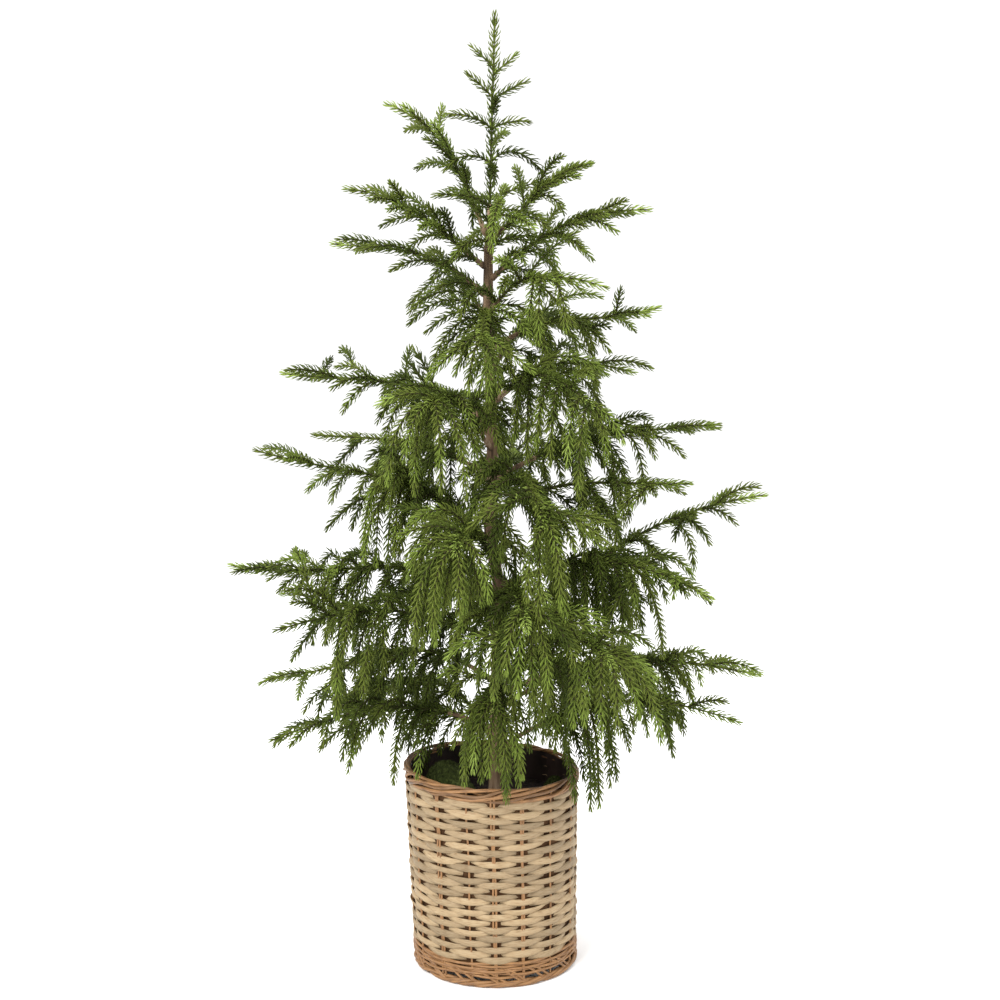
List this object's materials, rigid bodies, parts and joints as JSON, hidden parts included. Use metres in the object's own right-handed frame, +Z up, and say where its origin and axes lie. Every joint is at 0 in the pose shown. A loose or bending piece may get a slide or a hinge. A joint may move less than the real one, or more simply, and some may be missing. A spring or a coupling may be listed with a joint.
{
  "type": "artificial norfolk pine in a wicker basket",
  "caption": "Slim artificial Norfolk pine with drooping needle-clad twigs round an upright trunk, standing in a round woven wicker basket.",
  "frame": {"origin": "centre of the basket's foot, on the surface that it stands on", "axes": "+Z up along the trunk, -Y towards the side that the picture shows, +X to that view's right"},
  "size_m": [0.6985, 0.6891, 1.217],
  "materials": {
    "bark": "matte brown moulded bark",
    "needles": "semi-matte green moulded needles",
    "peeled_cane": "pale flat peeled strips, woven",
    "buff_cane": "orange-brown thin round canes",
    "liner": "dark brown filling",
    "moss": "dry green moss"
  },
  "bodies": {
    "root": {"trunk": "bark", "bough_right_5": "bark", "bough_left_6": "bark", "bough_right_8": "bark", "bough_left_7": "bark", "bough_right_7": "bark", "bough_front_8": "bark", "bough_back_7": "bark", "bough_left_8": "bark", "bough_front_9": "bark", "bough_left_9": "bark", "bough_right_9": "bark", "bough_back_8": "bark", "bough_left_10": "bark", "bough_right_10": "bark", "foliage_leader": "needles", "foliage_left_1": "needles", "foliage_right_1": "needles", "foliage_front_1": "needles", "foliage_back_1": "needles", "foliage_left_2": "needles", "foliage_right_2": "needles", "foliage_left_3": "needles", "foliage_front_2": "needles", "foliage_back_2": "needles", "foliage_front_3": "needles", "foliage_right_3": "needles", "foliage_back_3": "needles", "foliage_right_4": "needles", "foliage_front_4": "needles", "foliage_left_4": "needles", "foliage_back_4": "needles", "foliage_front_5": "needles", "foliage_left_5": "needles", "foliage_right_5": "needles", "foliage_front_6": "needles", "foliage_right_6": "needles", "foliage_back_6": "needles", "foliage_left_6": "needles", "foliage_front_7": "needles", "foliage_right_8": "needles", "foliage_left_7": "needles", "foliage_right_7": "needles", "foliage_front_8": "needles", "foliage_back_7": "needles", "foliage_left_8": "needles", "foliage_front_9": "needles", "foliage_left_9": "needles", "foliage_right_9": "needles", "foliage_back_8": "needles", "foliage_front_10": "needles", "foliage_left_10": "needles", "foliage_right_10": "needles", "foliage_back_9": "needles", "basket_wall": "peeled_cane", "basket_rim": "buff_cane", "basket_foot": "buff_cane", "filling": "liner", "moss_left": "moss", "moss_right": "moss"}
  },
  "joints": []
}
